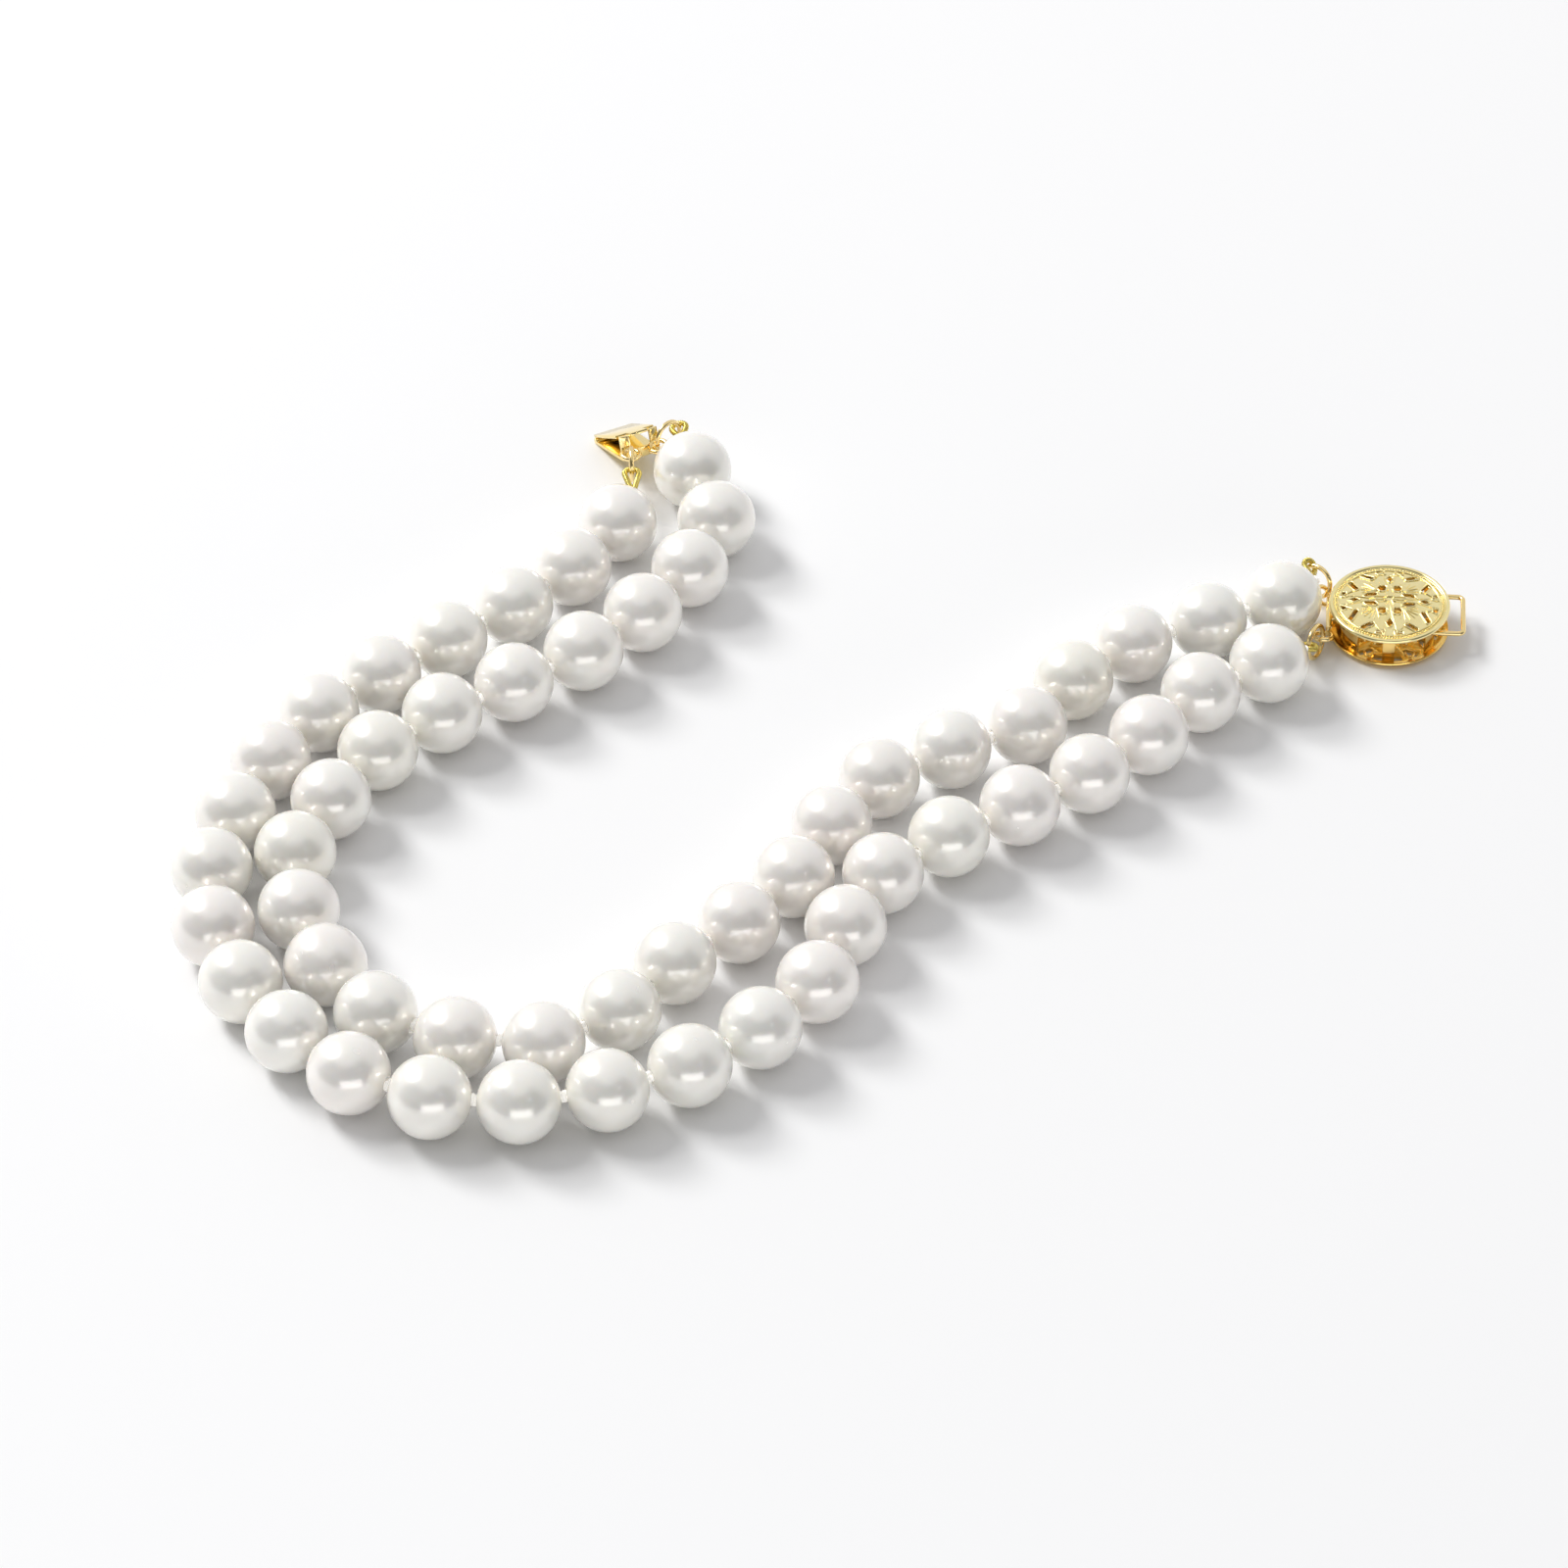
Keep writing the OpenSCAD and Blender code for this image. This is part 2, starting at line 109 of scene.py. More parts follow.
def socket(sockets, name):
    """The socket of that name that the node's own choices leave in use."""
    return next(s for s in sockets if s.name == name and s.enabled)


socket(room_tone.inputs, "A").default_value = (0.76, 0.76, 0.77, 1)
socket(room_tone.inputs, "B").default_value = (0.15, 0.15, 0.155, 1)
room.links.new(socket(room_tone.outputs, "Result"), background.inputs["Color"])

# The table top: a smooth pale sheet, wide enough for every view and just under the pearls
floor = bpy.data.objects.new("floor", bpy.data.meshes.new("floor"))
floor_half = 3.0
floor_z = -0.02 * MM
floor.data.from_pydata([(x * floor_half, y * floor_half, floor_z) for x, y in
                        ((-1, -1), (1, -1), (1, 1), (-1, 1))], [], [(0, 1, 2, 3)])
floor_paint = bpy.data.materials.new("floor paint")
floor_paint.use_nodes = True
shader = floor_paint.node_tree.nodes["Principled BSDF"]
shader.inputs["Base Color"].default_value = (0.9, 0.9, 0.9, 1)
shader.inputs["Roughness"].default_value = 0.9
shader.inputs["Specular IOR Level"].default_value = 0.0
floor.data.materials.append(floor_paint)
scene.collection.objects.link(floor)


# ---- Gold ----
# All metal parts are yellow gold, polished after casting. Handling leaves fine marks that
# break up the gloss, and the wires are a deeper yellow than the top plate. The gallery and the
# base plate get a deeper, more orange gold: painted shade for the parts that sit under the dome.

def shader_group(name, inputs, outputs):
    group = bpy.data.node_groups.new(name, "ShaderNodeTree")
    for label, kind, value in inputs:
        made = group.interface.new_socket(name=label, in_out="INPUT", socket_type=kind)
        made.default_value = value
    for label, kind in outputs:
        group.interface.new_socket(name=label, in_out="OUTPUT", socket_type=kind)
    return group, group.nodes.new("NodeGroupInput"), group.nodes.new("NodeGroupOutput")


def worked_out(tree, operation, a, b):
    """A sum of two values in a tree, where each is a number or a socket."""
    step = tree.nodes.new("ShaderNodeMath")
    step.operation = operation
    for place, value in enumerate((a, b)):
        if isinstance(value, (int, float)):
            step.inputs[place].default_value = value
        else:
            tree.links.new(value, step.inputs[place])
    return step.outputs[0]


def noise(tree, where, scale, detail, stretch=None):
    """Noise on a place in metres, as a value around a half."""
    if stretch:
        squeeze = tree.nodes.new("ShaderNodeMapping")
        squeeze.inputs["Scale"].default_value = stretch
        tree.links.new(where, squeeze.inputs["Vector"])
        where = squeeze.outputs[0]
    texture = tree.nodes.new("ShaderNodeTexNoise")
    texture.inputs["Scale"].default_value = scale
    texture.inputs["Detail"].default_value = detail
    tree.links.new(where, texture.inputs["Vector"])
    return texture.outputs["Fac"]


# Fine marks of polishing and handling: a roughness that varies, a height, and a worn mask
marks, marks_in, marks_out = shader_group(
    "Polishing marks",
    [("Roughness", "NodeSocketFloat", 0.15), ("Spread", "NodeSocketFloat", 0.1)],
    [("Roughness", "NodeSocketFloat"), ("Height", "NodeSocketFloat"), ("Worn", "NodeSocketFloat")])
marks_at = marks.nodes.new("ShaderNodeTexCoord").outputs["Object"]
smudges = noise(marks, marks_at, scale=900, detail=3)
scratches = noise(marks, marks_at, scale=2600, detail=2, stretch=(1, 7, 3))
scratch_depth = worked_out(marks, "MULTIPLY", scratches, 0.5)
spread = worked_out(marks, "MULTIPLY", worked_out(marks, "SUBTRACT", smudges, 0.5),
                    marks_in.outputs["Spread"])
marks.links.new(worked_out(marks, "ADD", spread, marks_in.outputs["Roughness"]),
                marks_out.inputs["Roughness"])
marks.links.new(worked_out(marks, "ADD", smudges, scratch_depth), marks_out.inputs["Height"])
marks.links.new(smudges, marks_out.inputs["Worn"])


def gold(name, tone, deep_tone, roughness, spread, relief):
    """Polished gold that turns to a deeper tone in patches, with marks that catch the light."""
    material = bpy.data.materials.new(name)
    material.use_nodes = True
    tree = material.node_tree
    shader = tree.nodes["Principled BSDF"]
    shader.inputs["Metallic"].default_value = 1
    handled = tree.nodes.new("ShaderNodeGroup")
    handled.node_tree = marks
    handled.inputs["Roughness"].default_value = roughness
    handled.inputs["Spread"].default_value = spread
    blend = tree.nodes.new("ShaderNodeMix")
    blend.data_type = "RGBA"
    socket(blend.inputs, "A").default_value = (*deep_tone, 1)
    socket(blend.inputs, "B").default_value = (*tone, 1)
    tree.links.new(handled.outputs["Worn"], blend.inputs["Factor"])
    tree.links.new(socket(blend.outputs, "Result"), shader.inputs["Base Color"])
    tree.links.new(handled.outputs["Roughness"], shader.inputs["Roughness"])
    bump = tree.nodes.new("ShaderNodeBump")
    bump.inputs["Strength"].default_value = relief
    bump.inputs["Distance"].default_value = 0.01 * MM
    tree.links.new(handled.outputs["Height"], bump.inputs["Height"])
    tree.links.new(bump.outputs["Normal"], shader.inputs["Normal"])
    return material


plate_gold = gold("plate gold", (1.0, 0.90, 0.50), (1.0, 0.83, 0.38), 0.16, 0.12, 0.35)
# Painted shade: the gallery and the base plate are a deeper, more orange gold than the top plate
gallery_gold = gold("gallery gold painted shade", (1.0, 0.74, 0.30), (0.94, 0.62, 0.18), 0.16, 0.1, 0.3)
base_gold_painted_shade = gold("base gold painted shade", (1.0, 0.74, 0.26), (0.96, 0.62, 0.15), 0.16, 0.1, 0.3)
wire_gold = gold("wire gold", (1.0, 0.80, 0.42), (0.92, 0.70, 0.30), 0.16, 0.12, 0.25)
tongue_gold = gold("tongue gold", (1.0, 0.84, 0.42), (1.0, 0.78, 0.34), 0.13, 0.1, 0.25)


# ---- Clasp box ----
# Two cast filigree plates with a gallery between them, soldered together. Every edge is
# softened by polishing, so each plate here is the frame's own shape with rounded edges.

def finish_piece(piece, body, nodes):
    """Seats a finished mesh: it rides on its body and stands for its frame nodes."""
    if piece.name not in scene.collection.objects:
        scene.collection.objects.link(piece)
    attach(piece, body)
    if nodes:
        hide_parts(*nodes)


def smooth_shaded(mesh, sharp_degrees):
    mesh.shade_smooth()
    mesh.set_sharp_from_angle(angle=math.radians(sharp_degrees))


def mesh_of(piece):
    """The mesh with its modifiers worked in."""
    bpy.context.view_layer.update()
    worked = piece.evaluated_get(bpy.context.evaluated_depsgraph_get())
    return bpy.data.meshes.new_from_object(worked)


weld = 0.002 * MM
flat_within = math.radians(1.5)
soft_edge_from = math.radians(38)


def welded(node):
    """A frame node's loose triangles as one joined shape."""
    shape = bmesh.new()
    shape.from_mesh(frame["nodes"][node].data)
    bmesh.ops.remove_doubles(shape, verts=shape.verts, dist=weld)
    return shape


def with_soft_edges(node, name, width, body, material):
    """A copy of a frame node with its edges rounded, as polishing leaves them."""
    mesh = frame["nodes"][node].data.copy()
    mesh.name = name
    shape = welded(node)
    bmesh.ops.dissolve_degenerate(shape, edges=shape.edges, dist=weld)
    bmesh.ops.dissolve_limit(shape, angle_limit=flat_within, verts=shape.verts, edges=shape.edges)
    shape.to_mesh(mesh)
    shape.free()
    mesh.materials.clear()
    mesh.materials.append(material)
    piece = bpy.data.objects.new(name, mesh)
    scene.collection.objects.link(piece)
    rounding = piece.modifiers.new("soft edges", "BEVEL")
    rounding.width = width
    rounding.segments = 2
    rounding.limit_method = "ANGLE"
    rounding.angle_limit = soft_edge_from
    rounding.use_clamp_overlap = True
    softened = mesh_of(piece)
    piece.modifiers.clear()
    piece.data = softened
    smooth_shaded(softened, 40)
    finish_piece(piece, body, [node])


for node, name, softness, metal, material_slot in (
        ("clasp_top_plate", "top_plate", 0.035 * MM, plate_gold, "clasp_gold"),
        ("clasp_base_plate", "base_plate", 0.03 * MM, base_gold_painted_shade, "clasp_gold"),
        ("gallery_wall", "wall_of_gallery", 0.03 * MM, gallery_gold, "gallery_gold"),
        ("gallery_posts", "posts_of_gallery", 0.03 * MM, gallery_gold, "gallery_gold"),
        ("catch_strip", "strip_of_catch", 0.02 * MM, gallery_gold, "gallery_gold"),
        ("safety_bail", "bail", 0.02 * MM, wire_gold, "clasp_gold"),
        ("strand_bar", "bar_of_strands", 0.05 * MM, wire_gold, "clasp_gold"),
        ("gallery_scrolls", "scrolls", 0.02 * MM, gallery_gold, "clasp_gold")):
    with_soft_edges(node, name, softness, "clasp_box", metal)

# Cast relief on the domed top: a raised line round every opening, fans on the diagonals,
# a star of veins in the middle, and a milled border inside the rim
box_low, box_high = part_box("clasp_top_plate")
clasp_r = (box_high.x - box_low.x) / 2
rim_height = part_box("gallery_wall")[1].z + 0.2 * MM
dome_rise = 0.55 * MM
border_r = clasp_r - 0.4 * MM
dome_r = (border_r ** 2 + dome_rise ** 2) / (2 * dome_rise)
dome_top = rim_height + dome_rise
relief_lift = 0.02 * MM


def on_dome(x, y):
    """The place of a raised line on the dome, over a point of the plan in millimetres."""
    flat = Vector((x, y)) * MM
    return Vector((*flat, dome_top - dome_r + math.sqrt(dome_r ** 2 - flat.length_squared)
                   + relief_lift))


def swept_wire(name, lines, radius, material, resolution, sharp_degrees, tip_share=1.0):
    """Wire swept along lines of points, each open or closed and as thick at its tip as asked."""
    curve = bpy.data.curves.new(name + " path", "CURVE")
    curve.dimensions = "3D"
    curve.bevel_depth = radius
    curve.bevel_resolution = resolution
    curve.use_fill_caps = True
    for path, closed in lines:
        spline = curve.splines.new("POLY")
        spline.points.add(len(path) - 1)
        for i, (point, place) in enumerate(zip(spline.points, path)):
            point.co = (*place, 1)
            point.radius = 1 if closed else 1 - (1 - tip_share) * i / (len(path) - 1)
        spline.use_cyclic_u = closed
    drawn = bpy.data.objects.new(name + " path", curve)
    scene.collection.objects.link(drawn)
    mesh = mesh_of(drawn)
    bpy.data.objects.remove(drawn)
    mesh.name = name
    mesh.materials.clear()
    mesh.materials.append(material)
    smooth_shaded(mesh, sharp_degrees)
    return bpy.data.objects.new(name, mesh)


def cast_lines(name, lines, radius):
    """Raised lines of the top plate, where an open one is thick at its root and thin at its tip."""
    lines_made = swept_wire(name, lines, radius, plate_gold, resolution=2, sharp_degrees=180,
                            tip_share=0.4)
    finish_piece(lines_made, "clasp_box", [])


def bowed(from_way, bow, root, tip, steps=8):
    """A bowed line on the dome, out along a bearing from one radius to another."""
    path = []
    for s in range(steps + 1):
        share = s / steps
        bearing = math.radians(from_way + bow * math.sin(share * math.pi / 2))
        r = root + (tip - root) * share
        path.append(on_dome(r * math.cos(bearing), r * math.sin(bearing)))
    return path, False


fan_at = 1.55
fan_turn = 19
fan_steps = 6
relief = []
for quarter in range(4):
    diagonal = 45 + 90 * quarter
    root = Vector((math.cos(math.radians(diagonal)), math.sin(math.radians(diagonal)))) * fan_at
    for rib in range(-3, 4):
        way = math.radians(diagonal + fan_turn * rib)
        length = 1.35 - 0.05 * abs(rib)
        relief.append(([on_dome(root.x + math.cos(way) * length * s / fan_steps,
                                root.y + math.sin(way) * length * s / fan_steps)
                        for s in range(fan_steps + 1)], False))
    for side in (-1, 1):
        relief.append(bowed(90 * quarter, side * 9, root=0.25, tip=3.95))
        relief.append(bowed(diagonal + side * 24, side * 14, root=3.2, tip=4.2))
        relief.append(bowed(diagonal + side * 10, side * 26, root=0.3, tip=1.9))
cast_lines("dome_relief", relief, 0.085 * MM)

# The line round each opening follows the sharp upper edge of the hole in the plate
faces_up = 0.8
faces_aside = 0.3
plate_mesh = welded("clasp_top_plate")
lip = [edge for edge in plate_mesh.edges if len(edge.link_faces) == 2
       and max(face.normal.z for face in edge.link_faces) > faces_up
       and abs(min(face.normal.z for face in edge.link_faces)) < faces_aside
       and max(vert.co.xy.length for vert in edge.verts) < border_r]
neighbours = {}
for edge in lip:
    for here, there in (edge.verts, reversed(edge.verts)):
        neighbours.setdefault(here, []).append(there)
outlines = []
while neighbours:
    here = next(iter(neighbours))
    loop = []
    while here is not None:
        loop.append(here.co.copy())
        around = neighbours.pop(here)
        here = next((vert for vert in around if vert in neighbours), None)
    if len(loop) > 3:
        outlines.append((loop, True))
plate_mesh.free()
cast_lines("hole_outlines", outlines, 0.075 * MM)


def round_dome(r, steps):
    """Places at equal steps round the dome, at a radius of the plan in millimetres."""
    turns = [math.tau * s / steps for s in range(steps)]
    return [on_dome(r * math.cos(turn), r * math.sin(turn)) for turn in turns]


# Milled border: a fine bead line between two plain wires
bead_ring_r = 4.32
beads = bpy.data.meshes.new("milled_beads")
bead = bmesh.new()
for at in round_dome(bead_ring_r, steps=120):
    bmesh.ops.create_icosphere(bead, subdivisions=1, radius=0.1 * MM, matrix=Matrix.Translation(at))
bead.to_mesh(beads)
bead.free()
beads.materials.append(plate_gold)
beads.shade_smooth()
finish_piece(bpy.data.objects.new("milled_beads", beads), "clasp_box", [])
cast_lines("border_wires", [(round_dome(r, steps=96), True) for r in (4.12, 4.5)], 0.08 * MM)


# ---- Tongue ----
# One strip of gold sheet folded at its nose and polished flat, with an end plate and two
# eyes soldered on. The upper leaf springs open and carries the thumb tab.

for node, name, softness, body, metal in (
        ("tongue_lower_leaf", "lower_leaf", 0.05 * MM, "tongue", tongue_gold),
        ("tongue_end_plate", "end_plate", 0.04 * MM, "tongue", tongue_gold),
        ("tongue_eyes", "eyes", 0.02 * MM, "tongue", wire_gold),
        ("tongue_spring_leaf", "spring_leaf", 0.05 * MM, "tongue_spring", tongue_gold)):
    with_soft_edges(node, name, softness, body, metal)


# ---- Where the strands lie ----
# Both strands run as smooth paths through the same points as the frame's, one pearl pitch
# apart, and every knot sits halfway between two pearls.

pearl_d = 6.5 * MM
pearl_gap = 0.22 * MM
pearl_r = pearl_d / 2
pitch = pearl_d + pearl_gap
pearls_per_strand = 27
last = pearls_per_strand - 1
route_steps = 10
inner_route = [
    (0, 0), (-14.5, -8), (-19, -16), (-31.5, -24), (-38.5, -38), (-44.5, -44.5), (-54, -55.5),
    (-68.5, -53), (-76, -39.5), (-74.5, -30), (-69, -20.5), (-54, -8), (-46.5, 5.5), (-49, 14.5)]
outer_route = [
    (-1, -8), (-6, -11.5), (-14, -21.5), (-30.5, -35), (-35, -48), (-44.5, -58), (-57.5, -62.5),
    (-69.5, -60), (-79, -50), (-82.5, -38.5), (-79.5, -25), (-74, -16), (-60, -2.5), (-55, 5.5)]
route_start = Vector((-8.65, -0.5, 3.25)) * MM
bends = [(0, 0), (2, 1), (4, 3), (6, 5), (8, 7), (10, 9), (12, 11), (14, 14), (16, 17), (18, 19),
         (20, 22), (22, 24), (24, 26), (27, 27)]
group_count = len(bends) - 1


def smooth_path(route):
    """Points of a smooth curve through a route, carried straight on past its end."""
    places = [route_start + Vector((x, y, 0)) * MM for x, y in route]
    out = places[-1] - places[-2]
    p = [2 * places[0] - places[1]] + places + [places[-1] + out, places[-1] + 2 * out]
    path = []
    for i in range(len(places)):
        a, b, c, d = p[i:i + 4]
        for step in range(route_steps):
            t = step / route_steps
            path.append(0.5 * (2 * b + (c - a) * t + (2 * a - 5 * b + 4 * c - d) * t ** 2
                               + (3 * b - a - 3 * c + d) * t ** 3))
    return path


def pearl_centres(route):
    path = smooth_path(route)
    centres = [path[0]]
    i = 0
    while len(centres) < pearls_per_strand:
        here = centres[-1]
        while (path[i + 1] - here).length < pitch:
            i += 1
        start, along = path[i], path[i + 1] - path[i]
        gap = start - here
        a, b, c = along.dot(along), 2 * gap.dot(along), gap.dot(gap) - pitch ** 2
        centres.append(start + along * (-b + math.sqrt(b * b - 4 * a * c)) / (2 * a))
    return centres


inner, outer = pearl_centres(inner_route), pearl_centres(outer_route)


# ---- Jump rings ----
# Four open rings of round wire. Each hooks through an eye of the clasp on one side and holds
# the gimp loop of its strand on the other, with its cut ends pushed shut.

settling_steps = 60


def axis_of(node):
    """Centre, axis, outer radius and half thickness of a ring, whose axis is its thinnest way."""
    points = [v.co for v in frame["nodes"][node].data.vertices]
    centre = sum(points, Vector()) / len(points)
    spread = Matrix(((0, 0, 0), (0, 0, 0), (0, 0, 0)))
    for p in points:
        q = (p - centre) / MM
        for i in range(3):
            for j in range(3):
                spread[i][j] += q[i] * q[j]
    power = spread.inverted()
    axis = Vector((0.3, 0.5, 0.8))
    for _ in range(settling_steps):
        axis = (power @ axis).normalized()
    reach = max((p - centre).length for p in points)
    thickness = max(abs((p - centre).dot(axis)) for p in points)
    return centre, axis, reach, thickness


ring_cut = 5
ring_steps = 60
for node, body, cut_at in (("ring_inner_box", "box_rings", 60), ("ring_outer_box", "box_rings", 110),
                           ("ring_inner_tongue", "tongue_rings", 40),
                           ("ring_outer_tongue", "tongue_rings", 200)):
    centre, axis, reach, wire_r = axis_of(node)
    across = axis.orthogonal().normalized()
    upright = axis.cross(across)
    turns = [math.radians(cut_at + ring_cut / 2 + s * (360 - ring_cut) / ring_steps)
             for s in range(ring_steps + 1)]
    path = [centre + (reach - wire_r) * (math.cos(t) * across + math.sin(t) * upright) for t in turns]
    ring = swept_wire(node.replace("ring", "jump_ring"), [(path, False)], wire_r, wire_gold,
                      resolution=5, sharp_degrees=50)
    finish_piece(ring, body, [node])


# ---- Pearls ----
# Round cultured pearls, each drilled through and hollowed a little at both mouths by the
# knots. No two are quite round or quite the same white: nacre shows rose, green and cream.

nacre = bpy.data.materials.new("nacre")
nacre.use_nodes = True
tree = nacre.node_tree
shader = tree.nodes["Principled BSDF"]
place = tree.nodes.new("ShaderNodeTexCoord").outputs["Object"]
number = tree.nodes.new("ShaderNodeAttribute")
number.attribute_name = "pearl number"
own = tree.nodes.new("ShaderNodeTexWhiteNoise")
own.noise_dimensions = "1D"
tree.links.new(number.outputs["Fac"], own.inputs["W"])
bloom = noise(tree, place, scale=140, detail=1)
own_share = worked_out(tree, "MULTIPLY", own.outputs["Value"], 0.6)
overtone_at = worked_out(tree, "ADD", own_share, worked_out(tree, "MULTIPLY", bloom, 0.45))
overtone = tree.nodes.new("ShaderNodeValToRGB")
overtone.color_ramp.elements[0].position = 0.12
overtone.color_ramp.elements[0].color = (0.95, 0.92, 0.83, 1)
overtone.color_ramp.elements[1].position = 0.9
overtone.color_ramp.elements[1].color = (0.92, 0.93, 0.87, 1)
for at, tint in ((0.35, (0.95, 0.93, 0.87, 1)), (0.6, (0.96, 0.91, 0.87, 1))):
    overtone.color_ramp.elements.new(at).color = tint
tree.links.new(overtone_at, overtone.inputs["Fac"])
tree.links.new(overtone.outputs["Color"], shader.inputs["Base Color"])
growth = noise(tree, place, scale=1500, detail=4)
haze = noise(tree, place, scale=420, detail=2)
hazy_gloss = worked_out(tree, "ADD", worked_out(tree, "MULTIPLY", haze, 0.1), 0.20)
tree.links.new(hazy_gloss, shader.inputs["Roughness"])
swirl = tree.nodes.new("ShaderNodeBump")
swirl.inputs["Strength"].default_value = 0.12
swirl.inputs["Distance"].default_value = 0.02 * MM
tree.links.new(growth, swirl.inputs["Height"])
tree.links.new(swirl.outputs["Normal"], shader.inputs["Normal"])
shader.inputs["Metallic"].default_value = 0.26
shader.inputs["Subsurface Weight"].default_value = 0.25
shader.inputs["Subsurface Radius"].default_value = (1.0, 0.8, 0.6)
shader.inputs["Subsurface Scale"].default_value = 0.8 * MM
shader.inputs["Coat Weight"].default_value = 0.6
shader.inputs["Coat Roughness"].default_value = 0.12
shader.inputs["Coat IOR"].default_value = 1.6


# One drilled pearl about its own middle, drilled along z: the outside, a hollow that seats
# a knot at each mouth, and the bore between them
hole_r = 0.4 * MM
seat_r = 0.58 * MM
knot_away = pitch / 2
mouth_z = (pearl_r ** 2 + knot_away ** 2 - seat_r ** 2) / (2 * knot_away)
mouth_r = math.sqrt(pearl_r ** 2 - mouth_z ** 2)
mouth_angle = math.asin(mouth_r / pearl_r)
seat_end_z = knot_away - math.sqrt(seat_r ** 2 - hole_r ** 2)
seat_fall = 0.55
outside_steps = 44
outside = [(pearl_r * math.sin(t), pearl_r * math.cos(t)) for t in
           (mouth_angle + s * (math.pi - 2 * mouth_angle) / outside_steps
            for s in range(outside_steps + 1))]
seat = [((mouth_r + hole_r) / 2, mouth_z + seat_fall * (seat_end_z - mouth_z)), (hole_r, seat_end_z)]
profile = outside + [(r, -z) for r, z in seat] + [(r, z) for r, z in reversed(seat)]
sides = 64
pearl_mesh = bpy.data.meshes.new("drilled pearl")
pearl_mesh.from_pydata(
    [(r * math.cos(math.tau * s / sides), r * math.sin(math.tau * s / sides), z)
     for s in range(sides) for r, z in profile], [],
    [(s * len(profile) + p, s * len(profile) + (p + 1) % len(profile),
      (s + 1) % sides * len(profile) + (p + 1) % len(profile), (s + 1) % sides * len(profile) + p)
     for s in range(sides) for p in range(len(profile))])
facing_out = bmesh.new()
facing_out.from_mesh(pearl_mesh)
bmesh.ops.recalc_face_normals(facing_out, faces=facing_out.faces)
facing_out.to_mesh(pearl_mesh)
facing_out.free()
pearl_mesh.shade_smooth()
drilled_pearl = bpy.data.objects.new("drilled pearl", pearl_mesh)
scene.collection.objects.link(drilled_pearl)


def geometry_tree(name, inputs):
    """A geometry tree with its group input and output, and named inputs after Geometry."""
    group = bpy.data.node_groups.new(name, "GeometryNodeTree")
    group.interface.new_socket(name="Geometry", in_out="INPUT", socket_type="NodeSocketGeometry")
    ids = {}
    for label, kind, value in inputs:
        made = group.interface.new_socket(name=label, in_out="INPUT", socket_type=kind)
        if value is not None:
            made.default_value = value
        ids[label] = made.identifier
    group.interface.new_socket(name="Geometry", in_out="OUTPUT", socket_type="NodeSocketGeometry")
    return group, group.nodes.new("NodeGroupInput"), group.nodes.new("NodeGroupOutput"), ids


def geometry_step(group, kind, settings=None, **feeds):
    """One node: settings are its own choices, and feeds fill its sockets by name."""
    step = group.nodes.new(kind)
    for name, value in (settings or {}).items():
        setattr(step, name, value)
    for name, value in feeds.items():
        fed = socket(step.inputs, name.replace("_", " "))
        if isinstance(value, bpy.types.NodeSocket):
            group.links.new(value, fed)
        else:
            fed.default_value = value
    return step


def attribute(group, name, kind):
    return socket(geometry_step(group, "GeometryNodeInputNamedAttribute", {"data_type": kind},
                                Name=name).outputs, "Attribute")


def vector_math(group, operation, a, b):
    """A vector step: b is a second vector, or the share that a is scaled by."""
    step = group.nodes.new("ShaderNodeVectorMath")
    step.operation = operation
    group.links.new(a, step.inputs[0])
    group.links.new(b, step.inputs["Scale" if operation == "SCALE" else 1])
    return step


# Strings pearls on points: each is turned to its drill line, its bore is bent to reach both
# knots, and its surface is pushed in and out a little
strung, strung_in, strung_out, strung_ids = geometry_tree("Strung pearls", [
    ("Pearl", "NodeSocketObject", None), ("Smallest", "NodeSocketFloat", 0.985),
    ("Off round", "NodeSocketFloat", 0.05 * MM), ("Seed", "NodeSocketInt", 7),
    ("Material", "NodeSocketMaterial", None)])
marked = geometry_step(strung, "GeometryNodeStoreNamedAttribute",
                       {"data_type": "FLOAT_VECTOR", "domain": "POINT"},
                       Geometry=strung_in.outputs["Geometry"], Name="middle",
                       Value=geometry_step(strung, "GeometryNodeInputPosition").outputs[0])
model_pearl = geometry_step(strung, "GeometryNodeObjectInfo", Object=strung_in.outputs["Pearl"])
faced = geometry_step(strung, "FunctionNodeAlignRotationToVector", {"axis": "Z"},
                      Vector=attribute(strung, "drill", "FLOAT_VECTOR"))
sized = geometry_step(strung, "FunctionNodeRandomValue", {"data_type": "FLOAT"},
                      Min=strung_in.outputs["Smallest"], Max=1.0, Seed=strung_in.outputs["Seed"],
                      ID=attribute(strung, "pearl number", "INT"))
placed = geometry_step(strung, "GeometryNodeInstanceOnPoints", Points=marked.outputs[0],
                       Instance=model_pearl.outputs["Geometry"], Rotation=faced.outputs[0],
                       Scale=socket(sized.outputs, "Value"))
solid = geometry_step(strung, "GeometryNodeRealizeInstances", Geometry=placed.outputs[0])
at = geometry_step(strung, "GeometryNodeInputPosition").outputs[0]
middle = attribute(strung, "middle", "FLOAT_VECTOR")
arm = vector_math(strung, "SUBTRACT", at, middle)
along_drill = vector_math(strung, "DOT_PRODUCT", arm.outputs[0],
                          attribute(strung, "drill", "FLOAT_VECTOR"))
fold_angle = worked_out(strung, "MULTIPLY", along_drill.outputs["Value"],
                        attribute(strung, "fold", "FLOAT"))
folded = geometry_step(strung, "ShaderNodeVectorRotate", {"rotation_type": "AXIS_ANGLE"},
                       Vector=at, Center=middle, Axis=attribute(strung, "fold axis", "FLOAT_VECTOR"),
                       Angle=fold_angle)
bent = geometry_step(strung, "GeometryNodeSetPosition", Geometry=solid.outputs[0],
                     Position=folded.outputs[0])
lumps = geometry_step(strung, "ShaderNodeTexNoise", {"noise_dimensions": "4D"}, Scale=240.0, Detail=0.5,
                      W=attribute(strung, "pearl number", "INT"))
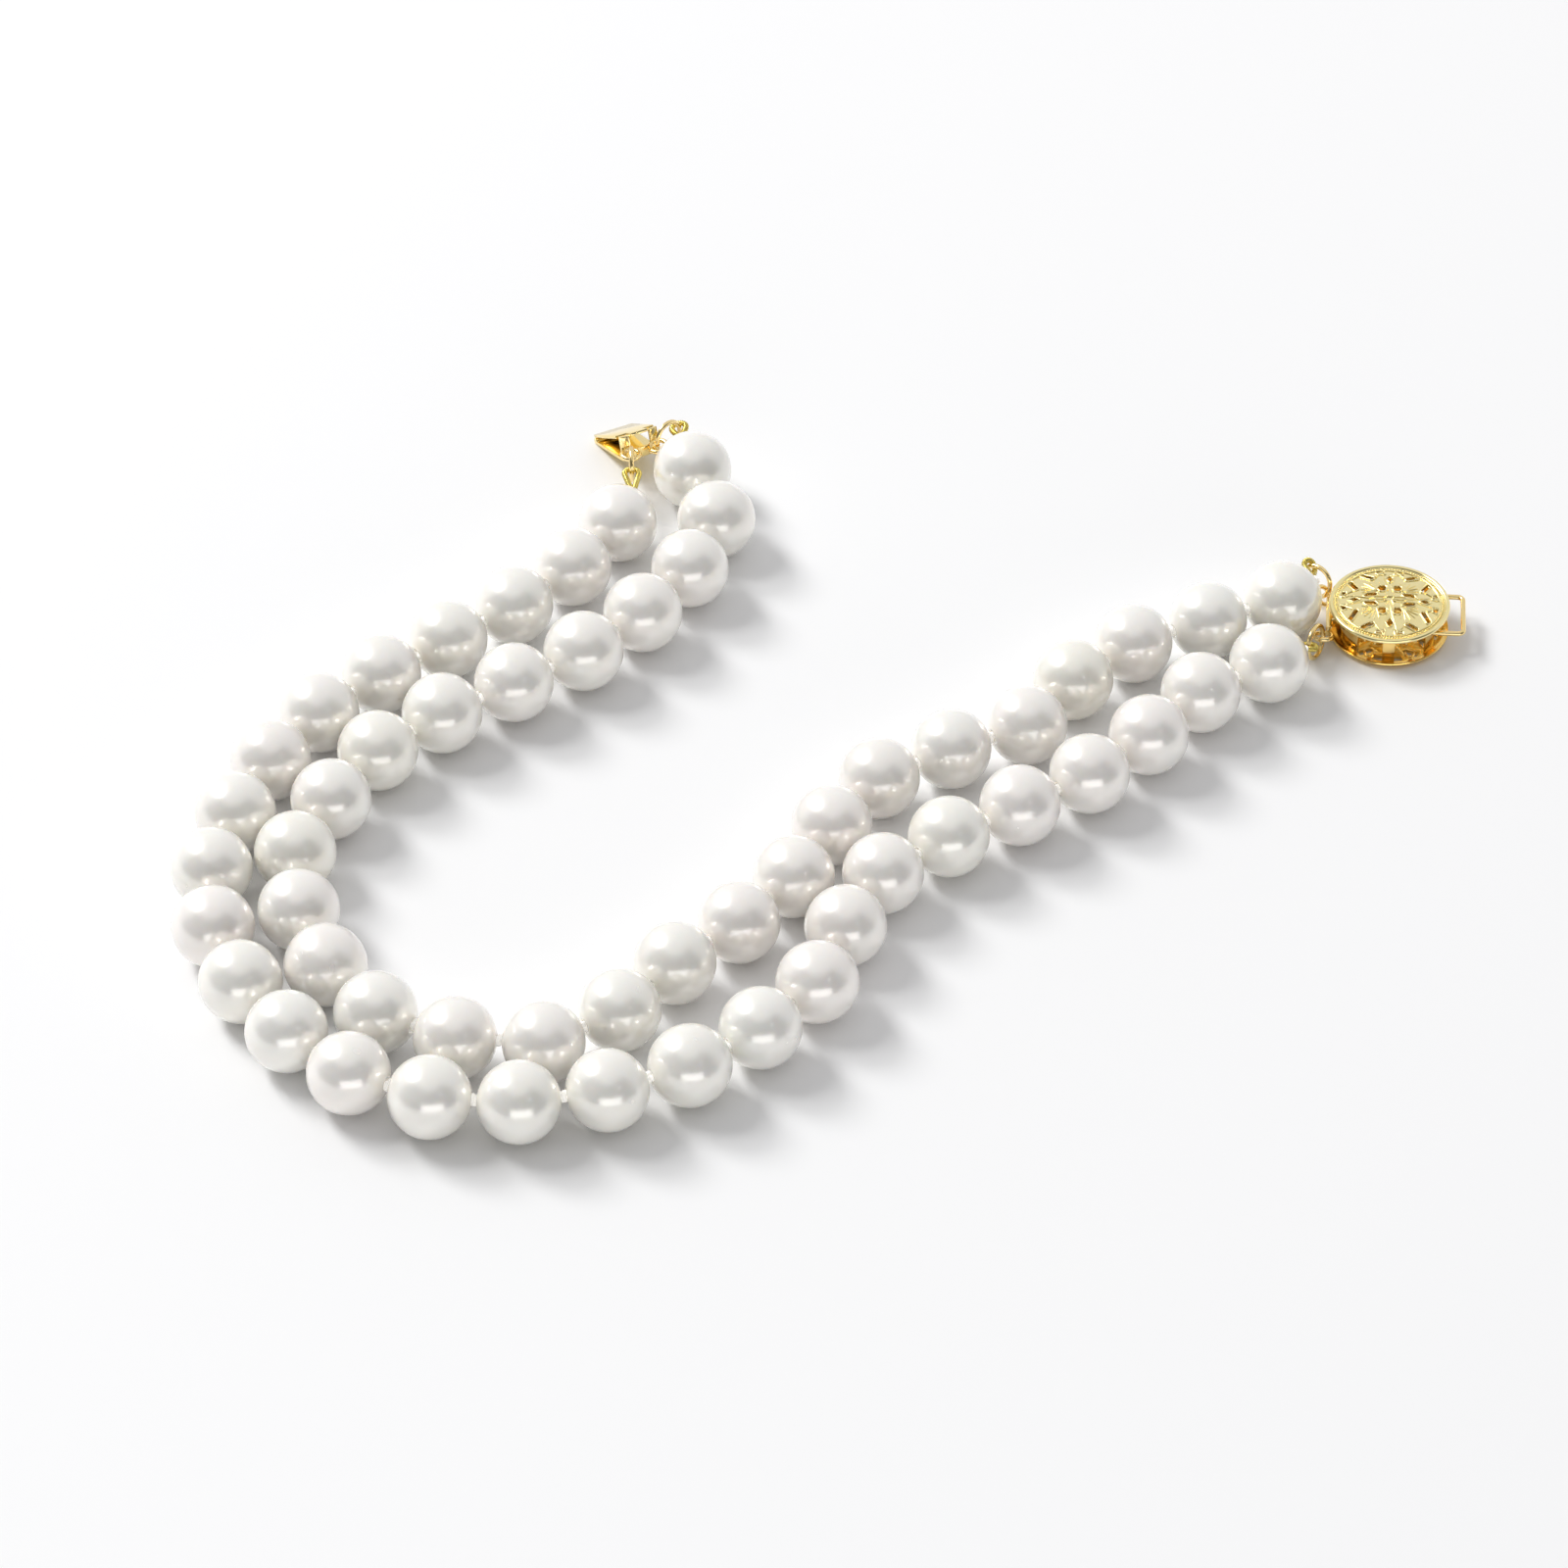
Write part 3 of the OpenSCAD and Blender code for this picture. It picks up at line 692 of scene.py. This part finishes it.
lump_depth = geometry_step(strung, "ShaderNodeMapRange", Value=lumps.outputs["Fac"],
                           From_Min=0.35, From_Max=0.75, To_Min=0.0, To_Max=-1.0)
push = worked_out(strung, "MULTIPLY", lump_depth.outputs[0], strung_in.outputs["Off round"])
outwards = vector_math(strung, "SCALE", geometry_step(strung, "GeometryNodeInputNormal").outputs[0],
                       push)
lumpy = geometry_step(strung, "GeometryNodeSetPosition", Geometry=bent.outputs[0],
                      Offset=outwards.outputs[0])
coated = geometry_step(strung, "GeometryNodeSetMaterial", Geometry=lumpy.outputs[0],
                       Material=strung_in.outputs["Material"])
strung.links.new(coated.outputs[0], strung_out.inputs[0])


def grown(points, name, tree_made, values):
    """Runs a geometry tree on an object and returns its result as a plain mesh object."""
    group, ids = tree_made
    run = points.modifiers.new(name, "NODES")
    run.node_group = group
    for label, value in values.items():
        run[ids[label]] = value
    scene.collection.objects.link(points)
    mesh = mesh_of(points)
    bpy.data.objects.remove(points)
    mesh.name = name
    return bpy.data.objects.new(name, mesh)


# The hinge lines of the rings run through both eyes at either end, and each ring holds its
# gimp on the side away from its eye
bar_eye_out = 2.6 * MM
tongue_eye_out = 1.25 * MM
joints = {joint["name"]: joint for joint in frame["joints"]}


def on_hinge(name, out):
    return Vector(joints[name]["pos_m"]) + out * Vector(joints[name]["axis"]).normalized()


def gimp_point(ring, eye):
    return 2 * axis_of(ring)[0] - eye


def wire_way(ring, eye):
    """The way that a ring's wire runs where its gimp holds it."""
    centre, axis = axis_of(ring)[:2]
    return axis.cross((centre - eye).normalized())


inner_eye = on_hinge("box_ring_swing", bar_eye_out)
outer_eye = on_hinge("box_ring_swing", -bar_eye_out)
far_eyes = [on_hinge("tongue_ring_swing", side * tongue_eye_out) for side in (1, -1)]
inner_far_eye = min(far_eyes, key=lambda eye: (eye - inner[last]).length)
outer_far_eye = max(far_eyes, key=lambda eye: (eye - inner[last]).length)

end_knot_out = 0.35 * MM


def end_knot(before, pearl, towards):
    """The knot that ends a strand sits on the pearl, between straight on and its gimp."""
    way_out = ((pearl - before).normalized() + (towards - pearl).normalized()).normalized()
    return pearl + (pearl_r + end_knot_out) * way_out


def knots_of(pearls, first, final):
    return [first] + [(a + b) / 2 for a, b in zip(pearls, pearls[1:])] + [final]


inner_knots = knots_of(
    inner, end_knot(inner[1], inner[0], gimp_point("ring_inner_box", inner_eye)),
    end_knot(inner[last - 1], inner[last], gimp_point("ring_inner_tongue", inner_far_eye)))
outer_knots = knots_of(
    outer, end_knot(outer[1], outer[0], gimp_point("ring_outer_box", outer_eye)),
    end_knot(outer[last - 1], outer[last], outer_far_eye))


def body_of_group(k):
    return f"strand_{k + 1:02d}"


def group_parts(k):
    """The pearls of one group: strand, pearl index, and the strand's pearls and knots."""
    for side, (pearls, knots) in enumerate(((inner, inner_knots), (outer, outer_knots))):
        for i in range(bends[k][side], bends[k + 1][side]):
            yield side, i, pearls, knots


def points_with(name, places, attributes):
    """A mesh of loose points that carries its own named attributes."""
    mesh = bpy.data.meshes.new(name)
    mesh.from_pydata(places, [], [])
    for label, (kind, values) in attributes.items():
        layer = mesh.attributes.new(label, kind, "POINT")
        for item, value in zip(layer.data, values):
            if kind == "FLOAT_VECTOR":
                item.vector = value
            else:
                item.value = value
    return bpy.data.objects.new(name, mesh)


for k in range(group_count):
    places, drills, axes, folds, numbers = [], [], [], [], []
    for side, i, pearls, knots in group_parts(k):
        back = (knots[i] - pearls[i]).normalized()
        ahead = (knots[i + 1] - pearls[i]).normalized()
        drill = (ahead - back).normalized()
        half_fold = (math.pi - back.angle(ahead)) / 2
        axis = drill.cross(ahead)
        places.append(pearls[i])
        drills.append(drill)
        axes.append(axis.normalized() if axis.length > 1e-6 else Vector((0, 0, 1)))
        folds.append(half_fold / pearl_r)
        numbers.append(1 + i + side * pearls_per_strand)
    points = points_with("pearl places", places, {
        "drill": ("FLOAT_VECTOR", drills), "fold axis": ("FLOAT_VECTOR", axes),
        "fold": ("FLOAT", folds), "pearl number": ("INT", numbers)})
    pearls_made = grown(points, f"strung_pearls_{k + 1:02d}", (strung, strung_ids),
                        {"Pearl": drilled_pearl, "Material": nacre})
    pearls_made.data.shade_smooth()
    finish_piece(pearls_made, body_of_group(k), [f"pearls_{k + 1:02d}"])
bpy.data.objects.remove(drilled_pearl)


# ---- Silk ----
# Each strand is strung on doubled white silk, twisted, with an overhand knot pulled tight
# between every two pearls. The knots sit in the mouths of the drill holes.

silk = bpy.data.materials.new("silk")
silk.use_nodes = True
tree = silk.node_tree
shader = tree.nodes["Principled BSDF"]
place = tree.nodes.new("ShaderNodeTexCoord").outputs["Object"]
fibres = noise(tree, place, scale=9000, detail=3)
fibre_tone = tree.nodes.new("ShaderNodeValToRGB")
fibre_tone.color_ramp.elements[0].color = (0.90, 0.88, 0.84, 1)
fibre_tone.color_ramp.elements[0].position = 0.3
fibre_tone.color_ramp.elements[1].color = (1.0, 0.99, 0.96, 1)
fibre_tone.color_ramp.elements[1].position = 0.65
tree.links.new(fibres, fibre_tone.inputs["Fac"])
tree.links.new(fibre_tone.outputs["Color"], shader.inputs["Base Color"])
fuzz = tree.nodes.new("ShaderNodeBump")
fuzz.inputs["Strength"].default_value = 0.3
fuzz.inputs["Distance"].default_value = 0.01 * MM
tree.links.new(fibres, fuzz.inputs["Height"])
tree.links.new(fuzz.outputs["Normal"], shader.inputs["Normal"])
shader.inputs["Roughness"].default_value = 0.55
shader.inputs["Sheen Weight"].default_value = 0.4
# A faint painted glow stands for the light that soaks through the fibres, so that the knots stay
# pale in the shade between two pearls
tree.links.new(fibre_tone.outputs["Color"], shader.inputs["Emission Color"])
shader.inputs["Emission Strength"].default_value = 0.28
silk.cycles.emission_sampling = "NONE"

knot_r = 0.55 * MM
knot_clear = 0.03 * MM
thread_r = 0.33 * MM
ply_r = 0.2 * MM
ply_in_bore = 0.85 * ply_r
lay = 1.4 * MM
lay_steps = 10
strand_numbers_apart = 100

# The knot: a trefoil of thread pulled in until its turns touch
knot_steps = 72
trefoil_reach = 3.1
knot_path = []
for s in range(knot_steps):
    t = math.tau * s / knot_steps
    knot_path.append(Vector((math.sin(t) + 2 * math.sin(2 * t), math.cos(t) - 2 * math.cos(2 * t),
                             -1.6 * math.sin(3 * t))) * (knot_r - ply_r) / trefoil_reach)
tied_knot = swept_wire("tied knot", [(knot_path, True)], ply_r, silk, resolution=2, sharp_degrees=50)
scene.collection.objects.link(tied_knot)

# Ties the knot on points, each one turned its own way
tied, tied_in, tied_out, tied_ids = geometry_tree("Tied knots", [
    ("Knot", "NodeSocketObject", None), ("Seed", "NodeSocketInt", 3),
    ("Material", "NodeSocketMaterial", None)])
model_knot = geometry_step(tied, "GeometryNodeObjectInfo", Object=tied_in.outputs["Knot"])
turned = geometry_step(tied, "FunctionNodeRandomValue", {"data_type": "FLOAT_VECTOR"},
                       Min=(0, 0, 0), Max=(math.tau, math.tau, math.tau), Seed=tied_in.outputs["Seed"],
                       ID=attribute(tied, "knot number", "INT"))
knots_placed = geometry_step(tied, "GeometryNodeInstanceOnPoints", Points=tied_in.outputs["Geometry"],
                             Instance=model_knot.outputs["Geometry"],
                             Rotation=socket(turned.outputs, "Value"))
knots_solid = geometry_step(tied, "GeometryNodeRealizeInstances", Geometry=knots_placed.outputs[0])
knots_coated = geometry_step(tied, "GeometryNodeSetMaterial", Geometry=knots_solid.outputs[0],
                             Material=tied_in.outputs["Material"])
tied.links.new(knots_coated.outputs[0], tied_out.inputs[0])


def twisted_thread(paths):
    """Doubled thread along each run: two plies wound round each other."""
    plies = []
    for start, end in paths:
        along = end - start
        across = along.orthogonal().normalized()
        upright = along.normalized().cross(across)
        steps = max(6, int(along.length / lay * lay_steps))
        for half in (0, math.pi):
            ply = []
            for s in range(steps + 1):
                t = half + math.tau * along.length / lay * s / steps
                ply.append(start + along * s / steps + (thread_r - ply_r)
                           * (math.cos(t) * across + math.sin(t) * upright))
            plies.append((ply, False))
    return swept_wire("thread", plies, ply_in_bore, silk, resolution=2, sharp_degrees=50)


def joined(name, pieces):
    """Several meshes as one piece."""
    merged = bmesh.new()
    for piece in pieces:
        merged.from_mesh(piece.data)
    mesh = bpy.data.meshes.new(name)
    merged.to_mesh(mesh)
    merged.free()
    mesh.materials.append(pieces[0].data.materials[0])
    for piece in pieces:
        bpy.data.objects.remove(piece)
    return bpy.data.objects.new(name, mesh)


for k in range(group_count):
    runs, places, numbers = [], [], []
    for side, i, pearls, knots in group_parts(k):
        first_here = i == bends[k][side]
        way_on = (knots[i + 1] - knots[i]).normalized()
        clear = knot_r + knot_clear if first_here and i > 0 else knot_r / 2
        runs.append((knots[i] + clear * way_on, knots[i + 1] - knot_r / 2 * way_on))
        places.append(knots[i + 1])
        numbers.append(strand_numbers_apart * side + i + 1)
        if i == 0:
            places.append(knots[0])
            numbers.append(strand_numbers_apart * side)
    points = points_with("knot places", places, {"knot number": ("INT", numbers)})
    knots_made = grown(points, "knots", (tied, tied_ids), {"Knot": tied_knot, "Material": silk})
    threaded = joined(f"silk_thread_{k + 1:02d}", [twisted_thread(runs), knots_made])
    smooth_shaded(threaded.data, 60)
    finish_piece(threaded, body_of_group(k), [f"silk_{k + 1:02d}"])
bpy.data.objects.remove(tied_knot)


# ---- Gimp ----
# A fine gold wire wound into a close coil and slid over the silk, so that the thread
# doesn't fray on the jump ring. The coil loops round the ring's wire back to the knot.

gimp_gold = gold("gimp gold", (0.88, 0.74, 0.24), (0.60, 0.46, 0.08), 0.24, 0.1, 0.2)
gimp_r = 0.25 * MM
gimp_wire_r = 0.08 * MM
gimp_turn = 0.165 * MM
gimp_play = 0.15 * MM
ring_wire_r = 0.2 * MM
loop_steps = 40
leg_steps = 8
coil_points = 720

# Winds a wire round a path: the path's points are moved out along its normal as it turns
coiled, coiled_in, coiled_out, coiled_ids = geometry_tree("Coiled gimp", [
    ("Coil radius", "NodeSocketFloat", gimp_r - gimp_wire_r),
    ("Wire radius", "NodeSocketFloat", gimp_wire_r),
    ("Turns per metre", "NodeSocketFloat", 1 / gimp_turn), ("Material", "NodeSocketMaterial", None)])
laid_out = geometry_step(coiled, "GeometryNodeMeshToCurve", Mesh=coiled_in.outputs["Geometry"])
fine = geometry_step(coiled, "GeometryNodeResampleCurve", Curve=laid_out.outputs[0],
                     Count=coil_points)
distance = socket(geometry_step(coiled, "GeometryNodeSplineParameter").outputs, "Length")
turns = worked_out(coiled, "MULTIPLY", distance, coiled_in.outputs["Turns per metre"])
turn_angle = worked_out(coiled, "MULTIPLY", turns, math.tau)
side_way = geometry_step(coiled, "GeometryNodeInputNormal").outputs[0]
swung = geometry_step(coiled, "ShaderNodeVectorRotate", {"rotation_type": "AXIS_ANGLE"},
                      Vector=side_way, Axis=geometry_step(coiled, "GeometryNodeInputTangent").outputs[0],
                      Angle=turn_angle)
wound_out = vector_math(coiled, "SCALE", swung.outputs[0], coiled_in.outputs["Coil radius"])
wound = geometry_step(coiled, "GeometryNodeSetPosition", Geometry=fine.outputs[0],
                      Offset=wound_out.outputs[0])
wire_round = geometry_step(coiled, "GeometryNodeCurvePrimitiveCircle", Resolution=6,
                           Radius=coiled_in.outputs["Wire radius"])
coil_mesh = geometry_step(coiled, "GeometryNodeCurveToMesh", Curve=wound.outputs[0],
                          Profile_Curve=wire_round.outputs["Curve"], Fill_Caps=True)
coil_coated = geometry_step(coiled, "GeometryNodeSetMaterial", Geometry=coil_mesh.outputs[0],
                            Material=coiled_in.outputs["Material"])
coiled.links.new(coil_coated.outputs[0], coiled_out.inputs[0])


def gimp_path(ring_point, across, knot):
    """From the knot out along one leg, round the ring's wire and back along the other."""
    z = across.normalized()
    x = ((knot - ring_point) - (knot - ring_point).dot(z) * z).normalized()
    y = z.cross(x)
    away = (knot - ring_point).length
    loop_r = gimp_r + ring_wire_r + gimp_play
    opening = math.acos(min(0.9, loop_r / away))
    path = [ring_point + loop_r * (math.cos(t) * x + math.sin(t) * y) for t in
            (opening + s * (math.tau - 2 * opening) / loop_steps for s in range(loop_steps + 1))]
    tip = knot + (ring_point - knot).normalized() * knot_r
    lead = [tip + (path[0] - tip) * s / leg_steps for s in range(leg_steps)]
    back = [path[-1] + (tip - path[-1]) * s / leg_steps for s in range(1, leg_steps + 1)]
    return lead + path + back


for end, eye, knot, group in (("inner_box", inner_eye, inner_knots[0], 0),
                              ("outer_box", outer_eye, outer_knots[0], 0),
                              ("inner_tongue", inner_far_eye, inner_knots[-1], group_count - 1),
                              ("outer_tongue", outer_far_eye, outer_knots[-1], group_count - 1)):
    ring = f"ring_{end}"
    path = gimp_path(gimp_point(ring, eye), wire_way(ring, eye), knot)
    guide = bpy.data.meshes.new("gimp guide")
    guide.from_pydata(path, [(i, i + 1) for i in range(len(path) - 1)], [])
    coil = grown(bpy.data.objects.new("gimp guide", guide), f"coil_{end}", (coiled, coiled_ids),
                 {"Material": gimp_gold})
    smooth_shaded(coil.data, 60)
    finish_piece(coil, body_of_group(group), [f"gimp_{end}"])
